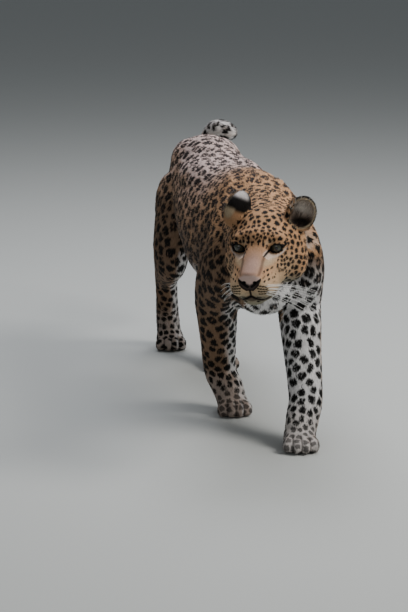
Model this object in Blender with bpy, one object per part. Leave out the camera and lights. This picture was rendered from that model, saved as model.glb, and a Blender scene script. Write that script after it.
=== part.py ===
"""A leopard in mid stride, at life size, standing on its own four paws as a museum shows it.

The animal is first built up as one body of clay from lofts and balls, one group for each
region of the anatomy. The clay is fused, smoothed and thinned, its face is carved, and it is
then parted with thin cuts into head, neck, torso, legs, paws and tail. The ears, the eyes and
the nose leather are pieces of their own.

Metres, +Z up. The animal faces -Y and its left side is at +X. The origin is on the ground,
under the middle of the whole figure.
"""

import math

import bmesh
import bpy
from mathutils import Euler, Matrix, Vector
from mathutils.bvhtree import BVHTree

# Driving dimensions
WITHERS_HEIGHT = 0.632
RUMP_HEIGHT = 0.636
CHEST_FLOOR = 0.282
BELLY_FLOOR = 0.338
CHEST_HALF_WIDTH = 0.112
LOIN_HALF_WIDTH = 0.108
TAIL_RADIUS = 0.033
EYE_RADIUS = 0.0165
EYE_SPACING = 0.086
EYE_DEPTH = 0.004
LID = 0.0032
EAR_HEIGHT = 0.066
GAP = 0.0003

# How finely the clay is fused, smoothed and thinned
CLAY_GRAIN = 0.0045
CLAY_PASSES = 11
BODY_KEEP = 0.029
HEAD_KEEP = 0.19

LEFT, RIGHT = 1, -1
SIDE_NAMES = {LEFT: "left", RIGHT: "right"}

# The head's own frame: between the eyes, facing -Y, with the jaw line level
EYE_LINE = Vector((-0.0800, -0.700, 0.5165))
HEAD_YAW, HEAD_PITCH, HEAD_ROLL = math.radians(-26), math.radians(6.5), math.radians(-2.5)
HEAD = Matrix.Translation(EYE_LINE) @ Euler((HEAD_PITCH, HEAD_ROLL, HEAD_YAW)).to_matrix().to_4x4()

# Where each ear stands in the head's frame and how it is turned: one forward, one laid back
EAR_PLACE = {LEFT: (0.076, 0.076, 0.034), RIGHT: (-0.074, 0.080, 0.046)}
EAR_TURN = {LEFT: (0.12, 0.40, 0.30), RIGHT: (-0.20, -0.42, -1.95)}

# The lids' opening, the bare nose and the line of the lips, as x and z in the head's frame
LID_OPENING = [
    (-0.0165, -0.0035),
    (-0.0120, -0.0080),
    (-0.0050, -0.0098),
    (0.0030, -0.0090),
    (0.0100, -0.0052),
    (0.0165, 0.0036),
    (0.0120, 0.0072),
    (0.0040, 0.0088),
    (-0.0050, 0.0076),
    (-0.0120, 0.0028),
]
NOSE_OUTLINE = [
    (0.0245, -0.0400),
    (0.0250, -0.0480),
    (0.0180, -0.0590),
    (0.0070, -0.0690),
    (-0.0070, -0.0690),
    (-0.0180, -0.0590),
    (-0.0250, -0.0480),
    (-0.0245, -0.0400),
    (-0.0120, -0.0330),
    (0.0120, -0.0330),
]
MOUTH_PATH = [(0.000, -0.0860), (0.0120, -0.0905), (0.0240, -0.0930), (0.0360, -0.0905), (0.0460, -0.0835)]

# The stride. Each leg lists its joints from the body down to the middle of the paw.
FORELEG_JOINTS = {
    LEFT: [
        (0.046, -0.285, 0.580),
        (0.096, -0.400, 0.432),
        (0.101, -0.345, 0.318),
        (0.086, -0.485, 0.105),
        (0.057, -0.545, 0.032),
    ],
    RIGHT: [
        (-0.046, -0.275, 0.584),
        (-0.090, -0.385, 0.436),
        (-0.088, -0.275, 0.322),
        (-0.055, -0.165, 0.104),
        (-0.030, -0.203, 0.032),
    ],
}
HINDLEG_JOINTS = {
    LEFT: [
        (0.062, 0.310, 0.520),
        (0.096, 0.195, 0.345),
        (0.060, 0.372, 0.188),
        (0.040, 0.286, 0.050),
        (0.030, 0.255, 0.030),
    ],
    RIGHT: [
        (-0.062, 0.320, 0.520),
        (-0.100, 0.265, 0.310),
        (-0.074, 0.472, 0.204),
        (-0.060, 0.528, 0.054),
        (-0.058, 0.505, 0.030),
    ],
}
# Which way each paw points, turned from straight ahead
FOREPAW_TURN = {LEFT: math.radians(-8), RIGHT: math.radians(-4)}
HINDPAW_TURN = {LEFT: math.radians(6), RIGHT: math.radians(-6)}

# Girth down each leg: bone, how far along it, half width, half depth fore and aft
FORELEG_GIRTH = [
    (0, 0.00, 0.026, 0.045),
    (0, 0.45, 0.040, 0.078),
    (1, 0.00, 0.046, 0.086),
    (1, 0.60, 0.054, 0.078),
    (2, 0.05, 0.053, 0.062),
    (2, 0.30, 0.050, 0.052),
    (2, 0.62, 0.045, 0.043),
    (3, 0.00, 0.041, 0.037),
    (3, 0.45, 0.040, 0.034),
    (3, 0.90, 0.038, 0.030),
]
HINDLEG_GIRTH = [
    (0, 0.05, 0.046, 0.100),
    (0, 0.50, 0.052, 0.108),
    (0, 0.92, 0.048, 0.082),
    (1, 0.30, 0.041, 0.060),
    (1, 0.65, 0.036, 0.042),
    (2, 0.00, 0.032, 0.037),
    (2, 0.30, 0.030, 0.030),
    (2, 0.75, 0.032, 0.028),
    (3, 0.60, 0.034, 0.027),
]

# The trunk from the chest back to the root of the tail: y, top, bottom, half width
TRUNK = [
    (-0.455, 0.500, 0.375, 0.060),
    (-0.405, 0.575, 0.320, 0.094),
    (-0.300, WITHERS_HEIGHT - 0.008, CHEST_FLOOR, CHEST_HALF_WIDTH),
    (-0.150, 0.606, CHEST_FLOOR - 0.003, CHEST_HALF_WIDTH + 0.012),
    (0.000, 0.600, 0.303, CHEST_HALF_WIDTH + 0.016),
    (0.120, 0.612, BELLY_FLOOR - 0.008, LOIN_HALF_WIDTH + 0.008),
    (0.230, RUMP_HEIGHT - 0.003, 0.365, LOIN_HALF_WIDTH - 0.006),
    (0.330, RUMP_HEIGHT - 0.014, 0.400, LOIN_HALF_WIDTH - 0.015),
    (0.405, 0.580, 0.440, 0.066),
]
# The neck from the shoulders to the back of the head: x, y, z, half width, half height
NECK = [
    (0.000, -0.340, 0.470, 0.108, 0.134),
    (-0.006, -0.430, 0.484, 0.101, 0.118),
    (-0.016, -0.505, 0.490, 0.094, 0.104),
    (-0.030, -0.575, 0.497, 0.087, 0.093),
    (-0.048, -0.635, 0.502, 0.074, 0.076),
]
# The tail from its root to its tip: x, y, z, share of TAIL_RADIUS
TAIL = [
    (0.000, 0.360, 0.570, 1.15),
    (0.004, 0.430, 0.550, 1.05),
    (0.020, 0.505, 0.455, 0.92),
    (0.045, 0.570, 0.350, 0.86),
    (0.072, 0.650, 0.300, 0.82),
    (0.092, 0.720, 0.345, 0.80),
    (0.094, 0.745, 0.440, 0.79),
    (0.094, 0.728, 0.525, 0.78),
    (0.100, 0.700, 0.572, 0.78),
    (0.117, 0.668, 0.588, 0.80),
    (0.138, 0.655, 0.580, 0.74),
]


def clear_scene():
    for obj in list(bpy.data.objects):
        bpy.data.objects.remove(obj)


def coat_material(name, colour, roughness):
    made = bpy.data.materials.new(name)
    made.use_nodes = True
    surface = made.node_tree.nodes["Principled BSDF"]
    surface.inputs["Base Color"].default_value = (*colour, 1)
    surface.inputs["Roughness"].default_value = roughness
    surface.inputs["Metallic"].default_value = 0
    return made


def ball(clay, centre, radii, turn=(0, 0, 0), frame=None, fineness=3):
    """Adds an ellipsoid of clay. A frame places it in the head or in a paw."""
    place = Matrix.LocRotScale(Vector(centre), Euler(turn), Vector(radii))
    bmesh.ops.create_icosphere(
        clay, subdivisions=fineness, radius=1, matrix=(frame or Matrix()) @ place
    )


def pair(clay, centre, radii, turn=(0, 0, 0), frame=None):
    """Adds an ellipsoid on the left and its mirror image on the right."""
    x, y, z = centre
    tip, roll, yaw = turn
    ball(clay, (x, y, z), radii, (tip, roll, yaw), frame)
    ball(clay, (-x, y, z), radii, (tip, -roll, -yaw), frame)


def between(stations, at):
    """The station at a place counted along the list, on a smooth curve through all of them."""
    last = len(stations) - 1
    start = min(int(at), last - 1)
    t = at - start
    before, a, b, after = (
        stations[max(0, min(last, start + k))] for k in (-1, 0, 1, 2)
    )
    return [
        0.5 * (2 * q + (r - p) * t + (2 * p - 5 * q + 4 * r - s) * t**2 + (3 * q - p - 3 * r + s) * t**3)
        for p, q, r, s in zip(before, a, b, after)
    ]


def loft(clay, stations, sides=20, steps=4, frame=None):
    """Adds a closed tube through stations of x, y, z, half width and half depth."""
    count = steps * (len(stations) - 1) + 1
    rows = [between(stations, k / steps) for k in range(count)]
    centres = [Vector(row[:3]) for row in rows]
    rings = []
    for k, row in enumerate(rows):
        along = (centres[min(k + 1, count - 1)] - centres[max(k - 1, 0)]).normalized()
        across = (Vector((1, 0, 0)) - along * along.x).normalized()
        turn = Matrix((across, along.cross(across), along)).transposed()
        place = Matrix.LocRotScale(centres[k], turn, Vector((row[3], row[4], 1)))
        ring = bmesh.ops.create_circle(
            clay, cap_ends=k in (0, count - 1), segments=sides, radius=1, matrix=(frame or Matrix()) @ place
        )
        rings.append({e for v in ring["verts"] for e in v.link_edges})
    for one, other in zip(rings, rings[1:]):
        bmesh.ops.bridge_loops(clay, edges=list(one | other))


def leg_stations(joints, girth):
    joints = [Vector(joint) for joint in joints]
    return [
        (*joints[bone].lerp(joints[bone + 1], share), half_width, half_depth)
        for bone, share, half_width, half_depth in girth
    ]


def trunk(clay):
    stations = [
        (0, y, (top + bottom) / 2, half_width, (top - bottom) / 2)
        for y, top, bottom, half_width in TRUNK
    ]
    loft(clay, stations, sides=28)
    # Breast, belly, loin and the broad croup
    ball(clay, (0, -0.405, 0.380), (0.082, 0.078, 0.085))
    ball(clay, (0, 0.090, BELLY_FLOOR + 0.035), (0.094, 0.190, 0.052))
    pair(clay, (0.036, 0.275, 0.550), (0.057, 0.125, 0.070))
    pair(clay, (0.040, 0.060, 0.535), (0.068, 0.230, 0.064))
    # Ribs behind the shoulder
    pair(clay, (0.062, -0.080, 0.430), (0.068, 0.190, 0.115))


def neck(clay):
    loft(clay, NECK, sides=24)
    # The nape's crest and the loose throat
    ball(clay, (-0.012, -0.460, 0.515), (0.060, 0.120, 0.062))
    ball(clay, (-0.022, -0.500, 0.430), (0.066, 0.110, 0.060))


def head(clay):
    def lump(centre, radii, turn=(0, 0, 0)):
        ball(clay, centre, radii, turn, HEAD)

    def lumps(centre, radii, turn=(0, 0, 0)):
        pair(clay, centre, radii, turn, HEAD)

    # The skull and the jaw as one tapering mass, then the brain case and the forehead
    skull = [
        (0, 0.150, -0.020, 0.070, 0.074),
        (0, 0.110, -0.020, 0.085, 0.084),
        (0, 0.065, -0.026, 0.088, 0.086),
        (0, 0.026, -0.036, 0.076, 0.074),
        (0, -0.016, -0.048, 0.058, 0.057),
        (0, -0.055, -0.062, 0.047, 0.046),
        (0, -0.088, -0.070, 0.036, 0.034),
    ]
    loft(clay, skull, sides=28, frame=HEAD)
    lump((0, 0.072, 0.002), (0.066, 0.080, 0.066))
    lump((0, 0.020, 0.016), (0.046, 0.044, 0.030))
    # The brows, the arches under the eyes and the full cheeks
    lumps((0.040, 0.012, 0.018), (0.024, 0.024, 0.014), (0, 0.25, 0.35))
    lumps((0.042, 0.038, -0.030), (0.034, 0.044, 0.036), (0, 0, 0.30))
    lumps((0.052, 0.072, -0.048), (0.042, 0.060, 0.054))
    # The flat bridge of the nose, the whisker pads, the chin and the jaw
    bridge = [
        (0, 0.020, 0.002, 0.022, 0.016),
        (0, -0.030, -0.016, 0.023, 0.016),
        (0, -0.070, -0.031, 0.025, 0.015),
        (0, -0.100, -0.044, 0.024, 0.014),
    ]
    loft(clay, bridge, frame=HEAD)
    lumps((0.022, -0.076, -0.067), (0.027, 0.034, 0.024), (0, 0, 0.20))
    lumps((0.032, -0.048, -0.062), (0.021, 0.040, 0.028), (0, 0, 0.20))
    lump((0, -0.061, -0.094), (0.030, 0.030, 0.021))
    lump((0, -0.020, -0.090), (0.044, 0.064, 0.027))
    # Clay for the lids to be cut from
    lumps((EYE_SPACING / 2, EYE_DEPTH, 0), [EYE_RADIUS + LID] * 3)


def paw(clay, centre, turn):
    """Adds the pad, the knuckles and four toes, spread as a fan round the paw's middle."""
    place = Matrix.Translation(Vector((centre[0], centre[1], 0))) @ Matrix.Rotation(turn, 4, "Z")
    ball(clay, (0, 0.004, 0.026), (0.039, 0.042, 0.030), frame=place)
    ball(clay, (0, 0.026, 0.012), (0.029, 0.024, 0.017), frame=place)
    for toe in range(4):
        spread = (toe - 1.5) / 1.5
        reach = 0.042 - 0.012 * spread**2
        ball(
            clay,
            (0.029 * spread, -reach, 0.018),
            (0.0138, 0.027, 0.0205),
            (0.10, 0, 0.30 * spread),
            place,
        )


def foreleg(clay, side):
    joints = FORELEG_JOINTS[side]
    loft(clay, leg_stations(joints, FORELEG_GIRTH))
    _, shoulder, elbow, wrist, foot = (Vector(joint) for joint in joints)
    # The triceps behind the upper arm, the point of the elbow and the heel of the wrist
    ball(clay, shoulder.lerp(elbow, 0.45) + Vector((0, 0.052, 0.022)), (0.042, 0.062, 0.066))
    ball(clay, elbow + Vector((0, 0.030, 0.010)), (0.030, 0.034, 0.030))
    ball(clay, wrist + Vector((0, 0.020, 0.002)), (0.024, 0.022, 0.026))
    paw(clay, foot, FOREPAW_TURN[side])


def hindleg(clay, side):
    joints = HINDLEG_JOINTS[side]
    loft(clay, leg_stations(joints, HINDLEG_GIRTH))
    hip, stifle, hock, _, foot = (Vector(joint) for joint in joints)
    # The ham behind the thigh, the knee cap and the point of the hock
    ball(clay, hip.lerp(stifle, 0.42) + Vector((0, 0.062, -0.012)), (0.046, 0.072, 0.100))
    ball(clay, stifle + Vector((0, -0.016, 0.012)), (0.036, 0.036, 0.044))
    ball(clay, hock + Vector((0, 0.016, 0.006)), (0.020, 0.022, 0.024))
    paw(clay, foot, HINDPAW_TURN[side])


def tail(clay):
    loft(clay, [(x, y, z, TAIL_RADIUS * share, TAIL_RADIUS * share) for x, y, z, share in TAIL], sides=14)
    ball(clay, TAIL[-1][:3], [TAIL_RADIUS * 0.74] * 3)


def settle(obj):
    """Replaces an object's mesh by what its modifiers make of it."""
    graph = bpy.context.evaluated_depsgraph_get()
    made = bpy.data.meshes.new_from_object(obj.evaluated_get(graph))
    obj.modifiers.clear()
    obj.data = made
    return obj


def new_object(name, mesh):
    obj = bpy.data.objects.new(name, mesh)
    bpy.context.scene.collection.objects.link(obj)
    return obj


def cast_clay():
    """Fuses all the clay into one closed skin, smooths it and thins it."""
    clay = bmesh.new()
    trunk(clay)
    neck(clay)
    head(clay)
    for side in (LEFT, RIGHT):
        foreleg(clay, side)
        hindleg(clay, side)
    tail(clay)
    bmesh.ops.recalc_face_normals(clay, faces=clay.faces)
    mesh = bpy.data.meshes.new("clay")
    clay.to_mesh(mesh)
    clay.free()
    body = new_object("clay", mesh)
    fuse = body.modifiers.new("fuse", "REMESH")
    fuse.mode = "VOXEL"
    fuse.voxel_size = CLAY_GRAIN
    hand = body.modifiers.new("hand", "SMOOTH")
    hand.factor = 0.6
    hand.iterations = CLAY_PASSES
    return settle(body)


def thin(body):
    """Thins the clay to few triangles: the body first, and then the head by less."""
    middle = HEAD @ Vector((0, 0.02, -0.03))
    for in_head, keep in ((False, BODY_KEEP), (True, HEAD_KEEP)):
        inside = {v.index for v in body.data.vertices if ((v.co - middle).length < 0.15) == in_head}
        triangles = sum(len(p.vertices) - 2 for p in body.data.polygons)
        touched = sum(len(p.vertices) - 2 for p in body.data.polygons if p.vertices[0] in inside)
        region = body.vertex_groups.new(name="region")
        region.add(list(inside), 1, "REPLACE")
        lighter = body.modifiers.new("lighter", "DECIMATE")
        lighter.ratio = 1 - (1 - keep) * touched / triangles
        lighter.vertex_group = region.name
        lighter.vertex_group_factor = 0.9
        settle(body)
        body.vertex_groups.clear()
    return body


def mesh_object(name, shape):
    """Makes an object from a bmesh, with its faces turned outward."""
    bmesh.ops.recalc_face_normals(shape, faces=shape.faces)
    mesh = bpy.data.meshes.new(name)
    shape.to_mesh(mesh)
    shape.free()
    return new_object(name, mesh)


def box(low, high, frame=None):
    """A box between two corners, in the frame given."""
    low, high = Vector(low), Vector(high)
    shape = bmesh.new()
    place = Matrix.LocRotScale((low + high) / 2, None, high - low)
    bmesh.ops.create_cube(shape, size=1, matrix=(frame or Matrix()) @ place)
    return mesh_object("box", shape)


def prism(outline, near, far, frame):
    """An outline of x, z points drawn out along y from near to far."""
    shape = bmesh.new()
    front = [shape.verts.new(frame @ Vector((x, near, z))) for x, z in outline]
    face = shape.faces.new(front)
    pushed = bmesh.ops.extrude_face_region(shape, geom=[face])["geom"]
    push = frame.to_3x3() @ Vector((0, far - near, 0))
    bmesh.ops.translate(shape, verts=[v for v in pushed if isinstance(v, bmesh.types.BMVert)], vec=push)
    return mesh_object("prism", shape)


def cut(obj, cutter, keep="DIFFERENCE"):
    """Cuts an object with another, which is used up."""
    cutter.hide_render = True
    cutter.display_type = "WIRE"
    boolean = obj.modifiers.new("cut", "BOOLEAN")
    boolean.operation = keep
    boolean.object = cutter
    settle(obj)
    bpy.data.objects.remove(cutter)
    return obj


def swell(obj, by):
    """Moves an object's surface outward along its normals."""
    shape = bmesh.new()
    shape.from_mesh(obj.data)
    shape.normal_update()
    for v, step in [(v, v.normal * by) for v in shape.verts]:
        v.co += step
    shape.to_mesh(obj.data)
    shape.free()
    return obj


def copy_of(obj, name):
    return new_object(name, obj.data.copy())


def part_off(body, name, low, high, frame=None):
    """Takes the piece inside a box off the body and leaves a gap between the two."""
    piece = cut(copy_of(body, name), box(low, high, frame), keep="INTERSECT")
    margin = Vector((GAP, GAP, GAP))
    cut(body, box(Vector(low) - margin, Vector(high) + margin, frame))
    return piece


def aimed(at, along, across=(1, 0, 0)):
    """A frame at a point whose z axis runs along a direction."""
    up = Vector(along).normalized()
    side = (Vector(across) - up * up.dot(Vector(across))).normalized()
    turn = Matrix((side, up.cross(side), up)).transposed().to_4x4()
    return Matrix.Translation(Vector(at)) @ turn


def carve_eyes(body):
    """Hollows each socket and opens the lids over it."""
    for side in (LEFT, RIGHT):
        centre = (side * EYE_SPACING / 2, EYE_DEPTH, 0)
        socket = bmesh.new()
        ball(socket, centre, [EYE_RADIUS + GAP] * 3, frame=HEAD)
        cut(body, mesh_object("socket", socket))
        opening = [(centre[0] + side * x, z) for x, z in LID_OPENING]
        cut(body, prism(opening, -0.060, centre[1], HEAD))


def eyeball(side):
    shape = bmesh.new()
    ball(shape, (side * EYE_SPACING / 2, EYE_DEPTH, 0), [EYE_RADIUS] * 3, frame=HEAD)
    return mesh_object(f"eye_{SIDE_NAMES[side]}", shape)


def on_skin(tree, x, z):
    """Where a line straight back through x, z in the head's frame meets the skin."""
    start = HEAD @ Vector((x, -0.25, z))
    hit = tree.ray_cast(start, HEAD.to_3x3() @ Vector((0, 1, 0)))
    return hit[0]


def groove(body, path, radius):
    """Cuts a thin round groove along a path of x, z points on the front of the face."""
    shape = bmesh.new()
    shape.from_mesh(body.data)
    tree = BVHTree.FromBMesh(shape)
    shape.free()
    line = bpy.data.curves.new("groove", "CURVE")
    line.dimensions = "3D"
    line.bevel_depth = radius
    line.bevel_resolution = 1
    line.use_fill_caps = True
    spline = line.splines.new("POLY")
    spline.points.add(len(path) - 1)
    for point, (x, z) in zip(spline.points, path):
        point.co = (*on_skin(tree, x, z), 1)
    wire = new_object("wire", line)
    graph = bpy.context.evaluated_depsgraph_get()
    cutter = new_object("groove", bpy.data.meshes.new_from_object(wire.evaluated_get(graph)))
    bpy.data.objects.remove(wire)
    cut(body, cutter)


def carve_mouth(body):
    """The line of the lips, from the middle out to both corners, and the cleft under the nose."""
    right = [(-x, z) for x, z in reversed(MOUTH_PATH[1:])]
    rough = right + MOUTH_PATH
    steps = 3 * (len(rough) - 1)
    groove(body, [between(rough, k / 3) for k in range(steps + 1)], 0.0016)
    groove(body, [(0, -0.0680 - 0.0040 * k) for k in range(5)], 0.0013)


def nose_leather(body):
    """The bare nose, a piece of its own with its two nostrils."""
    nose = cut(copy_of(body, "nose"), prism(NOSE_OUTLINE, -0.160, -0.084, HEAD), keep="INTERSECT")
    wider = swell(prism(NOSE_OUTLINE, -0.160, -0.084, HEAD), GAP)
    cut(body, wider)
    for side in (LEFT, RIGHT):
        nostril = bmesh.new()
        hole = (side * 0.0120, -0.1120, -0.0520)
        ball(nostril, hole, (0.0048, 0.0080, 0.0036), (0, side * 0.5, 0), HEAD, fineness=2)
        cut(nose, mesh_object("nostril", nostril))
    return nose


def ear(body, side):
    """A round cup of an ear, trimmed underneath to stand on the head."""
    turn = Euler(EAR_TURN[side]).to_matrix().to_4x4()
    place = HEAD @ Matrix.Translation(Vector(EAR_PLACE[side])) @ turn
    shell = bmesh.new()
    ball(shell, (0, 0.006, 0.018), (0.034, 0.024, EAR_HEIGHT / 2 + 0.010), frame=place)
    piece = mesh_object(f"ear_{SIDE_NAMES[side]}", shell)
    cup = bmesh.new()
    ball(cup, (0, -0.016, 0.0255), (0.0290, 0.0370, 0.0340), frame=place)
    cut(piece, mesh_object("cup", cup))
    return cut(piece, swell(copy_of(body, "skull"), GAP))


def part_foreleg(body, side):
    """Parts a foreleg into its paw, its lower leg and its upper leg with the shoulder."""
    name = SIDE_NAMES[side]
    elbow, wrist, foot = (Vector(joint) for joint in FORELEG_JOINTS[side][2:])
    shin = aimed(elbow, wrist - elbow)
    ends = sorted((side * 0.052, side * 0.250))
    return [
        part_off(body, f"forepaw_{name}", (-0.07, -0.09, -0.1), (0.08, 0.12, 0.052), Matrix.Translation(foot)),
        part_off(body, f"foreleg_{name}_lower", (-0.058, -0.09, 0.060), (0.058, 0.09, 0.34), shin),
        part_off(body, f"foreleg_{name}_upper", (ends[0], -0.52, 0.10), (ends[1], -0.235, 0.470)),
    ]


def part_hindleg(body, side):
    """Parts a hind leg into its foot below the hock, its shank and its thigh."""
    name = SIDE_NAMES[side]
    _, stifle, hock, toes, _ = (Vector(joint) for joint in HINDLEG_JOINTS[side])
    shin = aimed(stifle, hock - stifle)
    ends = sorted((side * 0.050, side * 0.250))
    return [
        part_off(body, f"hindfoot_{name}", (-0.065, -0.09, 0.030), (0.065, 0.17, 0.30), aimed(hock, toes - hock)),
        part_off(body, f"hindleg_{name}_lower", (-0.065, -0.09, 0.045), (0.065, 0.09, 0.32), shin),
        part_off(body, f"hindleg_{name}_upper", (ends[0], 0.08, 0.15), (ends[1], 0.50, 0.475)),
    ]


def part_tail(body):
    """Parts the tail from its tip back to its root."""
    return [
        part_off(body, "tail_tip", (-0.05, 0.560, 0.430), (0.30, 0.90, 0.90)),
        part_off(body, "tail_middle", (-0.05, 0.550, 0.100), (0.30, 0.90, 0.90)),
        part_off(body, "tail_root", (-0.08, 0.434, 0.250), (0.30, 0.90, 0.90)),
    ]


def part_body(body):
    """Parts the carved body into its named pieces. What is left is the torso."""
    pieces = [part_off(body, "head", (-0.17, -0.30, -0.22), (0.17, 0.118, 0.22), HEAD)]
    for side in (LEFT, RIGHT):
        pieces += part_foreleg(body, side)
        pieces += part_hindleg(body, side)
    pieces += part_tail(body)
    collar = aimed((0, -0.415, 0.47), (0, -0.94, 0.34))
    pieces.append(part_off(body, "neck", (-0.30, -0.35, 0), (0.30, 0.35, 0.60), collar))
    body.name = "torso"
    return pieces + [body]


def to_ground_middle(pieces):
    """Moves every piece so that the origin is on the ground under the middle of the figure."""
    corners = [v.co for piece in pieces for v in piece.data.vertices]
    low = Vector([min(c[k] for c in corners) for k in range(3)])
    high = Vector([max(c[k] for c in corners) for k in range(3)])
    shift = Vector((-(low.x + high.x) / 2, -(low.y + high.y) / 2, -low.z))
    for piece in pieces:
        piece.data.transform(Matrix.Translation(shift))
    return shift


def colour_pieces(pieces):
    """Gives each piece a material of its own, close to the animal's colours."""
    fur = ((0.50, 0.32, 0.15), 0.80)
    others = {
        "nose": ((0.30, 0.17, 0.14), 0.45),
        "eye": ((0.10, 0.09, 0.05), 0.12),
        "ear": ((0.16, 0.12, 0.09), 0.85),
    }
    for piece in pieces:
        colour, roughness = others.get(piece.name.split("_")[0], fur)
        piece.data.materials.clear()
        piece.data.materials.append(coat_material(piece.name, colour, roughness))


def build():
    clear_scene()
    body = thin(cast_clay())
    cut(body, box((-1, -1.5, -0.2), (1, 1.5, 0)))
    carve_eyes(body)
    carve_mouth(body)
    pieces = [ear(body, side) for side in (LEFT, RIGHT)]
    pieces += [eyeball(side) for side in (LEFT, RIGHT)]
    pieces.append(nose_leather(body))
    pieces += part_body(body)
    colour_pieces(pieces)
    return to_ground_middle(pieces)


SHIFT = build()
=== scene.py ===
import math

import bmesh
import bpy
import numpy as np
from mathutils import Euler, Matrix, Vector
from mathutils.bvhtree import BVHTree
from mathutils.kdtree import KDTree


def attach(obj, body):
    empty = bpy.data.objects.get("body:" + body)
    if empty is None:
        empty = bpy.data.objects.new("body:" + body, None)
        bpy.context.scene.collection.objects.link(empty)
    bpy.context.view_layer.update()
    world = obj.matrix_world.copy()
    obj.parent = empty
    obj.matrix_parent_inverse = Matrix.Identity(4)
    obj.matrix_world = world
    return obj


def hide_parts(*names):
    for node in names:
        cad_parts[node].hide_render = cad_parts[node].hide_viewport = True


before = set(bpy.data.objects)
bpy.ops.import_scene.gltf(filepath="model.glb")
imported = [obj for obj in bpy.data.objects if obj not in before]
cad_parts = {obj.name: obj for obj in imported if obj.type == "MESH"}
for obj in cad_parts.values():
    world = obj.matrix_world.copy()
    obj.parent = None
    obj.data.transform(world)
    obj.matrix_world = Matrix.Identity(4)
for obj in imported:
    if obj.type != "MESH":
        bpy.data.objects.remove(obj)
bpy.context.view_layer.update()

# The hide. One closed skin over the whole body, from the lips to the tip of the tail. It lies
# under the coat, so it is fused from the flesh of every part and then drawn in by the depth of
# the coat. Head and feet keep a finer mesh, and eyes, nose and lips the finest.
GRAIN, SWELL = 0.0029, 0.0007
BODY_SHARE = 0.100
SKULL_MIDDLE, SKULL_LONG, SKULL_REACH = (0, 0.035, -0.01), 1.12, 0.145
FOOT_HEIGHT = 0.052
EYES = ("eye_left", "eye_right")
flesh = [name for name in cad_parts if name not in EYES]
figure_middle = Vector((-0.003514, 0.016622, 0))
head_turn = Euler((math.radians(6.5), math.radians(-2.5), math.radians(-26))).to_matrix().to_4x4()
head_place = Matrix.Translation(Vector((-0.0800, -0.700, 0.5165)) + figure_middle) @ head_turn
out_of_head = np.array(head_place)
into_head = np.array(head_place.inverted())


def in_head(points):
    """Points in the head's own frame: x to its left, y to the back of the skull, z up."""
    return points @ into_head[:3, :3].T + into_head[:3, 3]


def from_head(points):
    return points @ out_of_head[:3, :3].T + out_of_head[:3, 3]


def mesh_of(shape, name):
    """The finished mesh of a bmesh, which isn't kept."""
    mesh = bpy.data.meshes.new(name)
    shape.to_mesh(mesh)
    shape.free()
    return mesh


def flesh_copy(nodes):
    """All the given parts in one bmesh, each swollen a little so that they run together."""
    whole = bmesh.new()
    for node in nodes:
        part = bmesh.new()
        part.from_mesh(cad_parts[node].data)
        part.transform(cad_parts[node].matrix_world)
        bmesh.ops.remove_doubles(part, verts=part.verts, dist=1e-6)
        part.normal_update()
        for vert, step in [(v, v.normal * SWELL) for v in part.verts]:
            vert.co += step
        lump = mesh_of(part, "lump")
        whole.from_mesh(lump)
        bpy.data.meshes.remove(lump)
    return whole


def settle(obj):
    """Puts in place of an object's mesh what its modifiers make of it."""
    made = bpy.data.meshes.new_from_object(obj.evaluated_get(bpy.context.evaluated_depsgraph_get()))
    obj.modifiers.clear()
    obj.data = made


def new_piece(name, data):
    obj = bpy.data.objects.new(name, data)
    bpy.context.scene.collection.objects.link(obj)
    return obj


def read_numbers(holder, name, width, kind=float):
    flat = np.empty(len(holder) * width, np.float32 if kind is float else np.int32)
    holder.foreach_get(name, flat)
    return flat.reshape(-1, width).astype(kind) if width > 1 else flat.astype(kind)


skin = new_piece("skin", mesh_of(flesh_copy(flesh + list(EYES)), "skin"))
fuse = skin.modifiers.new("fuse", "REMESH")
fuse.mode = "VOXEL"
fuse.voxel_size = GRAIN
calm = skin.modifiers.new("calm", "SMOOTH")
calm.factor = 0.5
calm.iterations = 5
settle(skin)

places = read_numbers(skin.data.vertices, "co", 3)
away = np.linalg.norm((in_head(places) - SKULL_MIDDLE) / (1, SKULL_LONG, 1), axis=1) > SKULL_REACH
away &= places[:, 2] > FOOT_HEIGHT
thinned = skin.vertex_groups.new(name="thinned")
thinned.add([int(k) for k in np.nonzero(away)[0]], 1, "REPLACE")
first_corners = read_numbers(skin.data.polygons, "loop_start", 1, int)
corner_points = read_numbers(skin.data.loops, "vertex_index", 1, int)
share_away = away[corner_points[first_corners]].mean()
lighter = skin.modifiers.new("lighter", "DECIMATE")
lighter.ratio = 1 - (1 - BODY_SHARE) * share_away
lighter.vertex_group = thinned.name
lighter.vertex_group_factor = 0.9
settle(skin)
skin.vertex_groups.clear()

# Eyes, nose and lips need a mesh of less than a millimetre, so the skin is divided twice there.
# Sizes are in the head's frame: the eyes' middles lie at its x axis.
EYE_SPACING, EYE_DEPTH, EYE_RADIUS = 0.086, 0.004, 0.0165
EYE_ZONE, SNOUT_HALF, SNOUT_BACK, LIPS_UNDER, NOSE_TOP = 0.025, 0.046, -0.070, -0.105, -0.026
eye_centres = {side: np.array((side * EYE_SPACING / 2, EYE_DEPTH, 0)) for side in (1, -1)}


def face_zone(points, spare):
    """True for points in the head's frame that lie near an eye, the nose or the lips."""
    near = np.zeros(len(points), bool)
    for centre in eye_centres.values():
        near |= np.linalg.norm(points - centre, axis=1) < EYE_ZONE + spare
    snout = (abs(points[:, 0]) < SNOUT_HALF + spare) & (points[:, 1] < SNOUT_BACK + spare)
    return near | snout & (points[:, 2] > LIPS_UNDER - spare) & (points[:, 2] < NOSE_TOP + spare)


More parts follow.
